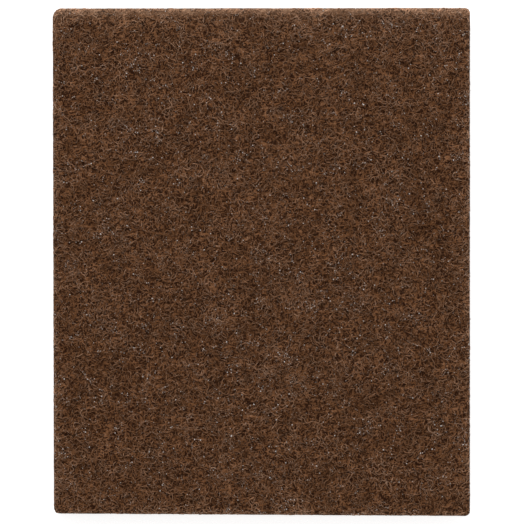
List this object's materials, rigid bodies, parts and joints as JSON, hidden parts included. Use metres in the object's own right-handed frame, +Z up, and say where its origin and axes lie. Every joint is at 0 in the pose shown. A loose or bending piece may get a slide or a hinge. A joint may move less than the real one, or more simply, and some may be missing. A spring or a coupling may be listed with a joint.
{
  "type": "polishing felt pad",
  "caption": "Flat rectangular brown polishing pad of open, crimped-fibre felt with square-cut sides and slightly rounded corners.",
  "frame": {"origin": "middle of the pad's outline, in the plane that the underside rests on", "axes": "+Z up out of the top face, +Y along the long sides, +X along the short sides"},
  "size_m": [0.115, 0.14, 0.008],
  "materials": {
    "brown_fibre_web": "matt, open web of crimped brown fibres with small pale grains"
  },
  "bodies": {
    "root": {"felt_pad": "brown_fibre_web"}
  },
  "joints": []
}
